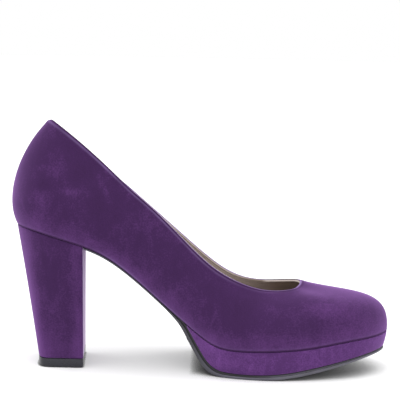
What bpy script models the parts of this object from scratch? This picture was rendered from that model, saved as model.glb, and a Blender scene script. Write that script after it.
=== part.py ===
"""Suede platform pump: a left shoe with a covered block heel, standing empty on its sole.

+X runs from the heel to the toe, +Y to the wearer's outer side and +Z up from the floor.
The pattern tables below are in millimetres for the sample size, and three grades
turn them into metres at the sizes named here.
"""

from collections import namedtuple
import math

import bmesh
import bpy
import numpy as np

# Driving dimensions, in metres
SHOE_LENGTH = 0.2352
BALL_WIDTH = 0.0758
BACK_TOP_HEIGHT = 0.1535
WALL = 0.0018
LASTING_MARGIN = 0.010
INSOLE_THICKNESS = 0.0025
INSOLE_EDGE = 0.0014
PLATFORM_TAPER = 0.0018
WAIST_INSET = 0.0035
WAIST_FLARE = 6
TOP_PIECE_HEIGHT = 0.0058
HEEL_FOOT_BACK = 0.0172
HEEL_FOOT_BREAST = 0.0452
HEEL_FOOT_WIDTH = 0.037
HEEL_FOOT_ROUND = 0.0095
HEEL_FOOT_SQUARE = 3.3
HEEL_BREAST = 0.0448
HEEL_HOLLOW = 0.0003
HEEL_TURN = math.radians(3.2)
EDGE_ROUND = 0.0007
SEAM_GAP = 0.0003
INSOLE_GAP = 0.0005

# The pattern's own sample sizes in millimetres, and the grades from them
SAMPLE_LENGTH = 235.2
SAMPLE_BALL_WIDTH = 75.8
SAMPLE_BACK_TOP = 153.5
ALONG = SHOE_LENGTH / SAMPLE_LENGTH
ACROSS = BALL_WIDTH / SAMPLE_BALL_WIDTH
UP = BACK_TOP_HEIGHT / SAMPLE_BACK_TOP

# Faces along and around each piece
UPPER_AROUND = 84
UPPER_HIGH = 12
WAIST_STEPS = 14
FOREFOOT_STEPS = 30
HEEL_STEPS = 12
HEEL_RINGS = 6
INSOLE_STEPS = 40
STEPS_ACROSS = 4
PLAN_SAMPLES = 720
MERGE_DISTANCE = 0.000001
SMOOTH_UP_TO = math.radians(40)
BEVEL_FROM = math.radians(50)

SUEDE_PURPLE = (0.128, 0.050, 0.183)
SOCK_TAUPE = (0.290, 0.205, 0.190)
SOLE_GREY = (0.045, 0.043, 0.052)
LIFT_GREY = (0.036, 0.036, 0.048)
SUEDE_ROUGHNESS = 0.9
SOCK_ROUGHNESS = 0.6
SOLE_ROUGHNESS = 0.6
LIFT_ROUGHNESS = 0.5

# Bottom of the last: feather is the height of the lasted upper's underside
Bottom = namedtuple("Bottom", "x feather")
BOTTOM = (
    Bottom(-6, 88.7),
    Bottom(12, 87.4),
    Bottom(30, 83.0),
    Bottom(46, 77.9),
    Bottom(60, 71.3),
    Bottom(76, 59.4),
    Bottom(92, 45.6),
    Bottom(106, 34.2),
    Bottom(118, 25.3),
    Bottom(128, 19.7),
    Bottom(140, 17.9),
    Bottom(160, 18.5),
    Bottom(185, 20.5),
    Bottom(210, 24.5),
    Bottom(238, 26.6),
)

# Underside of the platform, and the upright thickness of the outsole below it
Tread = namedtuple("Tread", "x platform sole")
TREAD = (
    Tread(110.3, 29.5, 7.4),
    Tread(113.5, 23.9, 7.1),
    Tread(118, 16.5, 7.2),
    Tread(122.5, 9.7, 5.8),
    Tread(128, 5.1, 4.0),
    Tread(137, 3.2, 3.1),
    Tread(155, 3.2, 3.1),
    Tread(168, 4.2, 3.1),
    Tread(185, 7.1, 3.1),
    Tread(205, 11.6, 2.6),
    Tread(222, 15.4, 1.9),
    Tread(238, 17.4, 1.8),
)
WAIST_SOLE = 2.0
WAIST_SWELL = 11

# One row for each wall section, from the back along the inner side to the toe and home along
# the outer side. foot is the feather line, top the topline. The section leaves the feather
# line low_out and low_up, and comes to the topline from high_out and high_down,
# after high_run of the way back to the feather line.
Wall = namedtuple(
    "Wall",
    "place foot_x foot_y top_x top_y top_z low_out low_up high_run high_out high_down",
)
WALLS = (
    Wall("heel back", 3.2, -1.2, 23.4, -0.5, 153.5, 8.9, 17.0, 0, 18.9, 17.6),
    Wall("inner heel corner", 11, -18.0, 28.5, -10.0, 151.9, 9.0, 18.0, 0, 15.0, 24.0),
    Wall("inner heel side", 28, -25.0, 42, -15.8, 142.4, 8.0, 17.0, 0, 9.0, 24.0),
    Wall("inner breast", 46, -24.5, 58, -19.0, 129.1, 8.0, 15.0, 0, 7.0, 22.0),
    Wall("inner waist", 68, -22.0, 75, -22.0, 113.9, 9.0, 13.0, 0, 5.5, 18.0),
    Wall("inner arch", 90, -21.0, 92, -23.3, 99.4, 9.0, 13.0, 0, 5.5, 17.0),
    Wall("inner instep", 110, -25.5, 112, -24.3, 79.6, 8.5, 13.0, 0, 6.5, 15.0),
    Wall("inner ball rear", 130, -33.5, 130, -25.0, 64.6, 7.0, 14.0, 0, 8.0, 13.0),
    Wall("inner ball", 152, -38.8, 150, -24.0, 55.2, 5.5, 14.0, 0.1, 8.0, 9.0),
    Wall("inner ball front", 174, -39.3, 164, -20.5, 52.5, 4.0, 16.0, 0.35, 3.0, 4.5),
    Wall("inner toe side", 198, -36.0, 172.5, -16.0, 52.2, 2.5, 20.0, 0.55, 0, 1.5),
    Wall("inner toe corner", 221.8, -28.0, 178, -10.5, 52.8, 2.0, 24.6, 0.58, 0, 3.0),
    Wall("toe tip", 235.3, -8.5, 180.5, -4.0, 55.0, 1.8, 27.3, 0.59, 0, 6.1),
    Wall("outer toe corner", 223.3, 12.5, 178.5, 3.0, 54.9, 2.0, 21.6, 0.54, 0, 8.0),
    Wall("outer toe side", 202, 25.0, 173.5, 8.5, 53.7, 2.5, 17.0, 0.52, 0, 6.5),
    Wall("outer ball front", 178, 33.5, 165, 13.5, 52.2, 3.0, 14.0, 0.45, 2.0, 6.0),
    Wall("outer ball", 150, 37.8, 150, 18.5, 51.7, 4.0, 12.0, 0.2, 7.0, 7.5),
    Wall("outer ball rear", 125, 35.0, 132, 21.5, 58.2, 5.0, 12.0, 0.05, 9.5, 11.0),
    Wall("outer instep", 100, 29.5, 108, 22.5, 77.0, 6.0, 12.0, 0, 9.0, 13.0),
    Wall("outer waist", 75, 26.0, 84, 21.5, 98.0, 6.5, 13.0, 0, 7.5, 15.0),
    Wall("outer breast", 48, 26.0, 60, 18.0, 118.6, 7.0, 15.0, 0, 8.0, 19.0),
    Wall("outer heel side", 28, 25.5, 42, 14.3, 133.5, 7.5, 17.0, 0, 10.0, 23.0),
    Wall("outer heel corner", 11, 17.0, 28.5, 8.5, 146.5, 9.0, 18.0, 0, 16.0, 23.0),
)


def cubic(knots, values, period=None):
    """Smooth curve through rows of values, free at its ends or closed over a period."""
    knots = np.asarray(knots, float)
    values = np.asarray(values, float).reshape(len(knots), -1)
    if period:
        knots = np.append(knots, knots[0] + period)
        values = np.vstack([values, values[:1]])
    last = len(knots) - 1
    step = np.diff(knots)
    slope = np.diff(values, axis=0) / step[:, None]
    system = np.eye(last + 1)
    target = np.zeros_like(values)
    for i in range(1, last):
        system[i, i - 1:i + 2] = step[i - 1], 2 * (step[i - 1] + step[i]), step[i]
        target[i] = 6 * (slope[i] - slope[i - 1])
    if period:
        system[0, last] = -1
        system[last, :2] = 2 * (step[0] + step[-1]), step[0]
        system[last, last - 1:] = step[-1], 0
        target[last] = 6 * (slope[0] - slope[-1])
    bend = np.linalg.solve(system, target)

    def at(place):
        place = np.asarray(place, float)
        if period:
            place = knots[0] + np.mod(place - knots[0], period)
        i = np.clip(np.searchsorted(knots, place, side="right") - 1, 0, last - 1)
        width = step[i][..., None]
        near = (knots[i + 1] - place)[..., None] / width
        far = 1 - near
        curve = (near**3 - near) * bend[i] + (far**3 - far) * bend[i + 1]
        return near * values[i] + far * values[i + 1] + curve * width**2 / 6

    return at


feather_height = cubic([row.x for row in BOTTOM], [row.feather for row in BOTTOM])
tread_rows = cubic([row.x for row in TREAD], [row[1:] for row in TREAD])


def feather(x):
    """Height of the upper's underside at x."""
    return feather_height(x / ALONG)[..., 0] * UP


def lifted(x, thickness):
    """Height at x of a face that lies square off the underside by a thickness."""
    reach = 0.0005
    slope = (feather(x + reach) - feather(x - reach)) / (2 * reach)
    return feather(x) + thickness * np.sqrt(1 + slope**2)


def platform_bottom(x):
    """Height of the platform's underside at x."""
    return tread_rows(x / ALONG)[..., 0] * UP


def sole_thickness(x):
    """Upright thickness of the outsole at x, thin in the waist and swelling to the platform."""
    tip = TREAD[0].x * ALONG
    rows = tread_rows(np.maximum(x, tip) / ALONG)
    share = np.clip((x - HEEL_BREAST) / (tip - HEEL_BREAST), 0, 1)
    waist = WAIST_SOLE + (TREAD[0].sole - WAIST_SOLE) * share**WAIST_SWELL
    return np.where(x < tip, waist, rows[..., 1]) * UP


def wall_columns(samples):
    """The wall table read at even steps around the feather line, in metres."""
    grade = [ALONG, ACROSS, ALONG, ACROSS, UP, ACROSS, UP, 1, ACROSS, UP]
    rows = np.array([row[1:] for row in WALLS]) * grade
    foot = np.vstack([rows[:, :2], rows[:1, :2]])
    around = np.append(0, np.cumsum(np.hypot(*np.diff(foot, axis=0).T)))
    curve = cubic(around[:-1], rows, period=around[-1])
    return curve(np.arange(samples) * around[-1] / samples)


def outward(loop):
    """Level unit normals of a closed plan loop that runs counter-clockwise from above."""
    ahead = np.roll(loop, -1, axis=0) - np.roll(loop, 1, axis=0)
    normal = np.stack([ahead[:, 1], -ahead[:, 0]], axis=1)
    return normal / np.linalg.norm(normal, axis=1, keepdims=True)


def upper_rows():
    """Grid of the upper's outer face: lasting margin, feather line, wall and topline."""
    columns = wall_columns(UPPER_AROUND)
    foot, top = columns[:, 0:2], columns[:, 2:4]
    top_z = columns[:, 4]
    low_out, low_up, high_run, high_out, high_down = columns[:, 5:].T
    normal = outward(foot)
    rows = []
    for margin in (1.0, 0.5):
        plan = foot - normal * LASTING_MARGIN * margin
        rows.append(np.column_stack([plan, feather(plan[:, 0])]))
    foot_z = feather(foot[:, 0])
    high_plan = top + (foot - top) * high_run[:, None] + normal * high_out[:, None]
    cage = (
        np.column_stack([foot, foot_z]),
        np.column_stack([foot + normal * low_out[:, None], foot_z + low_up]),
        np.column_stack([high_plan, top_z - high_down]),
        np.column_stack([top, top_z]),
    )
    for step in range(UPPER_HIGH + 1):
        t = step / UPPER_HIGH
        weights = ((1 - t)**3, 3 * t * (1 - t)**2, 3 * t**2 * (1 - t), t**3)
        rows.append(sum(weight * points for weight, points in zip(weights, cage)))
    return np.array(rows)


PLAN = wall_columns(PLAN_SAMPLES)[:, 0:2]


class Outline:
    """Plan outline of a bottom piece, set in from the feather line."""

    def __init__(self, inset):
        loop = PLAN - outward(PLAN) * inset
        heel, toe = loop[:, 0].argmin(), loop[:, 0].argmax()
        self.back, self.front = loop[heel, 0], loop[toe, 0]
        inner = np.roll(loop, -heel, axis=0)[:(toe - heel) % len(loop) + 1]
        outer = np.roll(loop, -toe, axis=0)[:(heel - toe) % len(loop) + 1][::-1]
        self.inner, self.outer = inner, outer

    def across(self, x, share):
        """Y at x, from the inner side at share 0 to the outer side at share 1."""
        inner = np.interp(x, *self.inner.T)
        outer = np.interp(x, *self.outer.T)
        return inner + (outer - inner) * share


FEATHER_LINE = Outline(0)


def rounded_steps(start, end, share):
    """Place between two ends, closer together towards both, as round ends need."""
    return start + (end - start) * (1 - math.cos(math.pi * share)) / 2


def clear_scene():
    for item in list(bpy.data.objects):
        bpy.data.objects.remove(item, do_unlink=True)


def new_material(name, colour, roughness):
    material = bpy.data.materials.new(name)
    material.use_nodes = True
    shader = material.node_tree.nodes["Principled BSDF"]
    shader.inputs["Base Color"].default_value = (*colour, 1)
    shader.inputs["Roughness"].default_value = roughness
    shader.inputs["Metallic"].default_value = 0
    return material


def finish(mesh_data, name, material, collection, frame):
    """Turn mesh data into a named, smooth-shaded object on the shoe's frame."""
    mesh = bpy.data.meshes.new(name)
    mesh_data.to_mesh(mesh)
    mesh_data.free()
    mesh.shade_smooth()
    mesh.set_sharp_from_angle(angle=SMOOTH_UP_TO)
    mesh.materials.append(material)
    item = bpy.data.objects.new(name, mesh)
    item.parent = frame
    collection.objects.link(item)
    return item


def shaped_block(steps_along, rings, place):
    """Unit block cut into steps, with each corner moved to place(along, across, up)."""
    block = bmesh.new()
    bmesh.ops.create_grid(block, x_segments=steps_along, y_segments=STEPS_ACROSS, size=0.5)
    raised = bmesh.ops.extrude_face_region(block, geom=block.faces[:])["geom"]
    for item in raised:
        if isinstance(item, bmesh.types.BMVert):
            item.co.z = 1
    uprights = [edge for edge in block.edges if abs(edge.verts[0].co.z - edge.verts[1].co.z) > 0.5]
    if rings:
        bmesh.ops.subdivide_edges(block, edges=uprights, cuts=rings, use_grid_fill=True)
    for corner in block.verts:
        corner.co = place(corner.co.x + 0.5, corner.co.y + 0.5, corner.co.z)
    bmesh.ops.remove_doubles(block, verts=block.verts[:], dist=MERGE_DISTANCE)
    bmesh.ops.recalc_face_normals(block, faces=block.faces[:])
    return block


def round_edges(item):
    bevel = item.modifiers.new("rounded edges", "BEVEL")
    bevel.width = EDGE_ROUND
    bevel.segments = 2
    bevel.limit_method = "ANGLE"
    bevel.angle_limit = BEVEL_FROM


def make_upper(material, collection, frame):
    """Lasted shell: a ring of wall sections, thickened inwards to the leather's wall."""
    rows = upper_rows()
    skin = bmesh.new()
    corners = [[skin.verts.new(point) for point in row] for row in rows]
    for low, high in zip(corners, corners[1:]):
        for i in range(UPPER_AROUND):
            after = (i + 1) % UPPER_AROUND
            skin.faces.new((low[i], low[after], high[after], high[i]))
    item = finish(skin, "upper", material, collection, frame)
    wall = item.modifiers.new("leather wall", "SOLIDIFY")
    wall.thickness = WALL
    wall.offset = -1
    wall.use_even_offset = True
    wall.use_quality_normals = True
    return item


def make_insole(material, collection, frame):
    """Sock-covered board on the lasting margin, inside the wall."""
    outline = Outline(WALL + INSOLE_EDGE)

    def place(along, across, up):
        x = rounded_steps(outline.back, outline.front, along)
        z = lifted(x, WALL + INSOLE_GAP + INSOLE_THICKNESS * up)
        return x, outline.across(x, across), z

    finish(shaped_block(INSOLE_STEPS, 0, place), "insole", material, collection, frame)


def forefoot_x(outline, along):
    """Steps from the platform's rear tip to the toe."""
    return rounded_steps(TREAD[0].x * ALONG, outline.front, along)


def make_platform(material, collection, frame):
    """Covered wedge between the upper's underside and the outsole."""
    outlines = Outline(PLATFORM_TAPER), FEATHER_LINE

    def place(along, across, up):
        outline = outlines[round(up)]
        x = forefoot_x(outline, along)
        z = feather(x) - SEAM_GAP if up > 0.5 else platform_bottom(x)
        return x, outline.across(x, across), z

    block = shaped_block(FOREFOOT_STEPS, 0, place)
    finish(block, "platform", material, collection, frame)


def make_outsole(material, collection, frame):
    """Thin sole from the heel breast through the waist, then under the platform to the toe."""
    waist, tread = Outline(WAIST_INSET), Outline(PLATFORM_TAPER)
    steps = WAIST_STEPS + FOREFOOT_STEPS
    tip = TREAD[0].x * ALONG
    rear = HEEL_BREAST + SEAM_GAP

    def place(along, across, up):
        step = round(along * steps) - WAIST_STEPS
        if step > 0:
            x = forefoot_x(tread, step / FOREFOOT_STEPS)
            y = tread.across(x, across)
            top = platform_bottom(x) - SEAM_GAP
        else:
            share = step / WAIST_STEPS + 1
            x = rear + (tip - rear) * share
            drawn_in = waist.across(x, across)
            y = drawn_in + (tread.across(x, across) - drawn_in) * share**WAIST_FLARE
            x -= y * math.tan(HEEL_TURN) * (1 - share)
            # Just behind the platform the sole leaves the underside and dips below its tip
            dip = platform_bottom(tip) + tip - x
            top = min(lifted(x, -SEAM_GAP), dip)
        bottom = max(top - sole_thickness(x), 0)
        return x, y, top if up > 0.5 else bottom

    finish(shaped_block(steps, 0, place), "outsole", material, collection, frame)


def heel_plan(along, across):
    """Heel seat in plan, from its round back to its flat breast."""
    length = HEEL_BREAST - FEATHER_LINE.back
    x = FEATHER_LINE.back + length * (1 - math.cos(math.pi / 2 * along))
    y = FEATHER_LINE.across(x, across)
    return x - y * math.tan(HEEL_TURN) * along, y


def heel_foot(along, across):
    """The heel's foot in plan: narrower and squarer at its round back."""
    length = HEEL_FOOT_BREAST - HEEL_FOOT_BACK
    x = HEEL_FOOT_BACK + length * (1 - math.cos(math.pi / 2 * along))
    turn = min((x - HEEL_FOOT_BACK) / HEEL_FOOT_ROUND, 1)
    full = (1 - (1 - turn)**HEEL_FOOT_SQUARE)**(1 / HEEL_FOOT_SQUARE)
    y = (across - 0.5) * HEEL_FOOT_WIDTH * full
    return x - y * math.tan(HEEL_TURN) * along, y


def make_heel(material, collection, frame):
    """Block heel that narrows to its foot, with a slightly hollow back and sides."""

    def place(along, across, up):
        seat_x, seat_y = heel_plan(along, across)
        foot_x, foot_y = heel_foot(along, across)
        hollow = HEEL_HOLLOW * math.sin(math.pi * up)
        x = foot_x + (seat_x - foot_x) * up + hollow * (1 - along)
        y = foot_y + (seat_y - foot_y) * up
        y -= hollow * (2 * across - 1) * along
        base = TOP_PIECE_HEIGHT + SEAM_GAP
        return x, y, base + (feather(seat_x) - SEAM_GAP - base) * up

    block = shaped_block(HEEL_STEPS, HEEL_RINGS, place)
    round_edges(finish(block, "heel", material, collection, frame))


def make_heel_top_piece(material, collection, frame):
    """Rubber lift under the heel's foot."""

    def place(along, across, up):
        x, y = heel_foot(along, across)
        return x, y, TOP_PIECE_HEIGHT * up

    block = shaped_block(HEEL_STEPS, 0, place)
    round_edges(finish(block, "heel_top_piece", material, collection, frame))


def main():
    clear_scene()
    collection = bpy.data.collections.new("suede_platform_pump")
    bpy.context.scene.collection.children.link(collection)
    frame = bpy.data.objects.new("pump_frame", None)
    collection.objects.link(frame)
    skin = upper_rows().reshape(-1, 3)
    middle = (skin.min(axis=0) + skin.max(axis=0)) / 2
    frame.location = (-middle[0], -middle[1], 0)
    suede = {
        name: new_material(name, SUEDE_PURPLE, SUEDE_ROUGHNESS)
        for name in ("upper suede", "platform suede", "heel suede")
    }
    sock = new_material("sock lining", SOCK_TAUPE, SOCK_ROUGHNESS)
    sole = new_material("sole rubber", SOLE_GREY, SOLE_ROUGHNESS)
    lift = new_material("lift rubber", LIFT_GREY, LIFT_ROUGHNESS)
    make_upper(suede["upper suede"], collection, frame)
    make_insole(sock, collection, frame)
    make_platform(suede["platform suede"], collection, frame)
    make_outsole(sole, collection, frame)
    make_heel(suede["heel suede"], collection, frame)
    make_heel_top_piece(lift, collection, frame)


main()
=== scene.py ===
"""Looks of a suede platform pump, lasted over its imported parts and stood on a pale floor.

The pattern's tables are in millimetres: x from the back of the heel to the toe, y to the
wearer's outer side and z up from the floor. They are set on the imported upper's own box.
"""

from collections import namedtuple
import math

import bpy
from bpy.props import FloatProperty, FloatVectorProperty, PointerProperty
from mathutils import Matrix, Vector
import numpy as np


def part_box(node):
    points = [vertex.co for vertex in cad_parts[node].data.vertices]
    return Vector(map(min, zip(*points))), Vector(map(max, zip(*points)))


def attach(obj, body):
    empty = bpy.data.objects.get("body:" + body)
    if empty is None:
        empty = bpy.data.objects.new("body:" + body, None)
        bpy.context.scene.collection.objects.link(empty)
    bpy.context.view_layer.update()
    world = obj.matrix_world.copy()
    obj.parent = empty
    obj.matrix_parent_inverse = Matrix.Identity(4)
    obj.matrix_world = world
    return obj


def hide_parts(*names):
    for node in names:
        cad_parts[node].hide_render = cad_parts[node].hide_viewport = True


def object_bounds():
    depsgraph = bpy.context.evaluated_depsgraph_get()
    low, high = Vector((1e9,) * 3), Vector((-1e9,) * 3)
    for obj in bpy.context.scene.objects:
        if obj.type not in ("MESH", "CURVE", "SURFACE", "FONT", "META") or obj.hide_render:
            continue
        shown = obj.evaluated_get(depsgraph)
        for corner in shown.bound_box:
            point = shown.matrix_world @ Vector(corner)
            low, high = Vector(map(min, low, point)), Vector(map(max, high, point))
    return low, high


bl_info = {
    "name": "Suede platform pump",
    "version": (1, 0, 0),
    "blender": (4, 5, 0),
    "location": "3D View > Sidebar > Pump",
    "description": "Makes the covers, lining and soles of a suede pump, and a stage for it",
    "category": "Mesh",
}

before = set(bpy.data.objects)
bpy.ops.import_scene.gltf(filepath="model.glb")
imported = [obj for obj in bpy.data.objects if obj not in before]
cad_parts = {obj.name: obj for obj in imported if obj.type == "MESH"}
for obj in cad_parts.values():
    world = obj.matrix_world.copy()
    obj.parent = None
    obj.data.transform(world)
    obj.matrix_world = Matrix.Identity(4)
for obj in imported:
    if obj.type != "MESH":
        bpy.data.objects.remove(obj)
CAD_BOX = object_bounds()
BODY = "root"
MM = 0.001

# Bottom of the last: feather is the height of the lasted upper's underside
Bottom = namedtuple("Bottom", "x feather")
BOTTOM = (
    Bottom(-6, 88.7),
    Bottom(12, 87.4),
    Bottom(30, 83.0),
    Bottom(46, 77.9),
    Bottom(60, 71.3),
    Bottom(76, 59.4),
    Bottom(92, 45.6),
    Bottom(106, 34.2),
    Bottom(118, 25.3),
    Bottom(128, 19.7),
    Bottom(140, 17.9),
    Bottom(160, 18.5),
    Bottom(185, 20.5),
    Bottom(210, 24.5),
    Bottom(238, 26.6),
)

# Underside of the platform, and the upright thickness of the outsole below it
Tread = namedtuple("Tread", "x platform sole")
TREAD = (
    Tread(110.3, 29.5, 7.4),
    Tread(113.5, 23.9, 7.1),
    Tread(118, 16.5, 7.2),
    Tread(122.5, 9.7, 5.8),
    Tread(128, 5.1, 4.0),
    Tread(137, 3.2, 3.1),
    Tread(155, 3.2, 3.1),
    Tread(168, 4.2, 3.1),
    Tread(185, 7.1, 3.1),
    Tread(205, 11.6, 2.6),
    Tread(222, 15.4, 1.9),
    Tread(238, 17.4, 1.8),
)
PLATFORM_TIP = TREAD[0].x * MM

# One row for each wall section, from the back along the inner side to the toe and home along
# the outer side. foot is the feather line, top the topline. The section leaves the feather
# line low_out and low_up, and comes to the topline from high_out and high_down,
# after high_run of the way back to the feather line.
Wall = namedtuple(
    "Wall",
    "place foot_x foot_y top_x top_y top_z low_out low_up high_run high_out high_down",
)
WALLS = (
    Wall("heel back", 3.2, -1.2, 23.4, -0.5, 153.5, 8.9, 17.0, 0, 18.9, 17.6),
    Wall("inner heel corner", 11, -18.0, 28.5, -10.0, 151.9, 9.0, 18.0, 0, 15.0, 24.0),
    Wall("inner heel side", 28, -25.0, 42, -15.8, 142.4, 8.0, 17.0, 0, 9.0, 24.0),
    Wall("inner breast", 46, -24.5, 58, -19.0, 129.1, 8.0, 15.0, 0, 7.0, 22.0),
    Wall("inner waist", 68, -22.0, 75, -22.0, 113.9, 9.0, 13.0, 0, 5.5, 18.0),
    Wall("inner arch", 90, -21.0, 92, -23.3, 99.4, 9.0, 13.0, 0, 5.5, 17.0),
    Wall("inner instep", 110, -25.5, 112, -24.3, 79.6, 8.5, 13.0, 0, 6.5, 15.0),
    Wall("inner ball rear", 130, -33.5, 130, -25.0, 64.6, 7.0, 14.0, 0, 8.0, 13.0),
    Wall("inner ball", 152, -38.8, 150, -24.0, 55.2, 5.5, 14.0, 0.1, 8.0, 9.0),
    Wall("inner ball front", 174, -39.3, 164, -20.5, 52.5, 4.0, 16.0, 0.35, 3.0, 4.5),
    Wall("inner toe side", 198, -36.0, 172.5, -16.0, 52.2, 2.5, 20.0, 0.55, 0, 1.5),
    Wall("inner toe corner", 221.8, -28.0, 178, -10.5, 52.8, 2.0, 24.6, 0.58, 0, 3.0),
    Wall("toe tip", 235.3, -8.5, 180.5, -4.0, 55.0, 1.8, 27.3, 0.59, 0, 6.1),
    Wall("outer toe corner", 223.3, 12.5, 178.5, 3.0, 54.9, 2.0, 21.6, 0.54, 0, 8.0),
    Wall("outer toe side", 202, 25.0, 173.5, 8.5, 53.7, 2.5, 17.0, 0.52, 0, 6.5),
    Wall("outer ball front", 178, 33.5, 165, 13.5, 52.2, 3.0, 14.0, 0.45, 2.0, 6.0),
    Wall("outer ball", 150, 37.8, 150, 18.5, 51.7, 4.0, 12.0, 0.2, 7.0, 7.5),
    Wall("outer ball rear", 125, 35.0, 132, 21.5, 58.2, 5.0, 12.0, 0.05, 9.5, 11.0),
    Wall("outer instep", 100, 29.5, 108, 22.5, 77.0, 6.0, 12.0, 0, 9.0, 13.0),
    Wall("outer waist", 75, 26.0, 84, 21.5, 98.0, 6.5, 13.0, 0, 7.5, 15.0),
    Wall("outer breast", 48, 26.0, 60, 18.0, 118.6, 7.0, 15.0, 0, 8.0, 19.0),
    Wall("outer heel side", 28, 25.5, 42, 14.3, 133.5, 7.5, 17.0, 0, 10.0, 23.0),
    Wall("outer heel corner", 11, 17.0, 28.5, 8.5, 146.5, 9.0, 18.0, 0, 16.0, 23.0),
)

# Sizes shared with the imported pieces, in metres
SEAM_GAP = 0.3 * MM
LASTING_MARGIN = 10 * MM
SOCK_BOTTOM = 2.3 * MM
SOCK_TOP = 4.8 * MM
PLATFORM_TAPER = 1.8 * MM
WAIST_INSET = 3.5 * MM
WAIST_SOLE = 2.0 * MM
WAIST_SWELL = 11
WAIST_FLARE = 6
TOP_PIECE_HEIGHT = 5.8 * MM
HEEL_BREAST = 44.8 * MM
HEEL_FOOT_BREAST = 45.2 * MM
HEEL_FOOT_BACK = 17.2 * MM
HEEL_FOOT_WIDTH = 37 * MM
HEEL_FOOT_ROUND = 9.5 * MM
HEEL_FOOT_SQUARE = 3.3
HEEL_HOLLOW = 0.3 * MM
HEEL_TURN = math.radians(3.2)

# Faces along, across and around each piece
WALL_AROUND = 336
WALL_ROWS = 42
SECTION_STEPS = 160
PLAN_SAMPLES = 2880
SOCK_STEPS = 150, 20
PLATFORM_STEPS = 150, 14
WAIST_STEPS = 50
TREAD_STEPS = 260
SOLE_ACROSS = 30
HEEL_STEPS = 60, 24
LIFT_STEPS = 90, 24
MERGE_DISTANCE = 0.001 * MM
SMOOTH_UP_TO = math.radians(40)
CUT_ROUND = 0.25 * MM
CUT_FROM = math.radians(60)

# Columns and rows of the upper's suede in millimetres: from the back seam, in from the feather
# line underneath, up from it and down from the topline, with a few around its rounded edge
SEAM_COLUMNS = 0.25, 0.5, 0.8, 1.2, 1.8, 2.6
MARGIN_ROWS = 6, 3.5, 2.2
LOW_ROWS = 0, 0.9, 2.2, 3.8
HIGH_ROWS = 7.4, 6.6, 6, 5.4, 4.8, 4.2, 3.6, 3, 2.5, 2.1, 1.8, 1.5, 1.3, 1.1, 0.9, 0.6, 0.3, 0
TURN_ROWS = 6

# Even rows of the lining, and shares of its height at the closer rows above them
LINING_ROWS = 30
LINING_TOP_ROWS = 0.93, 0.95, 0.97, 0.985, 0.995, 1
LINING_FOOT = 2 * MM
LINING_GAP = 0.05 * MM

# Heights up the wall around the one that the sock's edge meets, its room there and its cupped sides
SOCK_WALL = 3.5, 4.5, 5.5
SOCK_ROOM = 0.35 * MM
SOCK_CUP = 0.9 * MM

# Edge of a covered or moulded block: share of its height, and millimetres that it is drawn in
Ring = namedtuple("Ring", "height inset")


def rings(*rows):
    return [Ring(*row) for row in rows]


SOCK_EDGE = rings((0, 0.2), (0.4, 0), (0.7, 0.1), (0.88, 0.35), (0.97, 0.8), (1, 1.5))
PLATFORM_EDGE = rings(
    (0, 0.9), (0.012, 0.45), (0.035, 0.12), (0.07, 0), (0.22, -0.15), (0.4, -0.22), (0.6, -0.22),
    (0.8, -0.15), (0.955, 0), (0.98, 0.1), (0.993, 0.3), (1, 0.6),
)
SOLE_EDGE = rings(
    (0, 0.7), (0.05, 0.3), (0.14, 0.08), (0.28, 0), (0.45, -0.05), (0.56, 0), (0.62, 0.12),
    (0.66, 0.8), (1, 0.9),
)
HEEL_EDGE = rings(
    (0, 0.3), (0.002, 0.1), (0.005, 0.02),
    *((share, 0) for share in (0.014, 0.12, 0.25, 0.4, 0.55, 0.7, 0.85, 0.986)),
    (0.993, 0.06), (0.998, 0.25), (1, 0.5),
)
LIFT_EDGE = rings(
    (0, 1.1), (0.03, 0.55), (0.09, 0.2), (0.2, 0), (0.5, 0), (0.9, 0), (0.98, 0.05), (1, 0.2),
)

# Marks that handling leaves in the nap of the inner side: where they are, their half length and
# half width in millimetres, how they lean from level in degrees, and how far they stand up or lie
NapMark = namedtuple("NapMark", "x z long wide lean lift")
NAP_MARKS = (
    NapMark(31, 126, 10, 8, 30, 0.3),
    NapMark(38, 112, 6, 2.2, 0, 0.45),
    NapMark(59, 114, 7, 2.2, -65, 0.45),
    NapMark(46, 123, 8, 6, 0, -0.35),
    NapMark(55, 100, 12, 9, -30, -0.3),
    NapMark(22, 116, 5, 4, 0, -0.45),
    NapMark(22, 107, 3.5, 6, 0, 0.35),
    NapMark(40, 136, 9, 4, -40, -0.3),
    NapMark(144, 45, 18, 13, -20, -0.35),
    NapMark(183, 30, 12, 5, 5, -0.25),
    NapMark(198, 44, 18, 6, 0, 0.35),
)

# Stretches over which a tone of the upper or its lining grows: its start, its end and how strong
# it is there, if not 1. First those along the shoe
QUARTER_TO_THROAT = 58 * MM, 80 * MM
THROAT_FRONT = 160 * MM, 172 * MM
THROAT_TIP = 173 * MM, 179 * MM
OUTER_REAR = 166 * MM, 154 * MM
BAND_FADES = 120 * MM, 142 * MM, 0.75
WAIST_FRONT = 122 * MM, 100 * MM, 0.24
WAIST_REAR = 48 * MM, 72 * MM
BACK_WEAKER_SHEEN = 60 * MM, 20 * MM, 0.5
CURVE_WEAKER_SHEEN = 24 * MM, 10 * MM, 0.3
TOE_WEAKER_SHEEN = 225 * MM, 233 * MM, 0.3
LIP_RISES = 60 * MM, 84 * MM
LIP_TIGHTENS = 152 * MM, 164 * MM, 0.35
OUTER_LIP_LOW = 150 * MM, 138 * MM, 0.6
OUTER_LIP_DARK = 162 * MM, 156 * MM
VAMP_LINING = 138 * MM, 174 * MM, 0.7

# The same across the shoe, and then up from the floor
INNER_TOP = 4 * MM, -4 * MM
INNER_FRONT = -6 * MM, -11 * MM
INNER_SIDE = 0, -8 * MM
OUTER_SIDE = 0, 8 * MM
HIGH_BACK = 112 * MM, 132 * MM
LOW_BACK = 108 * MM, 98 * MM

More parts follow.
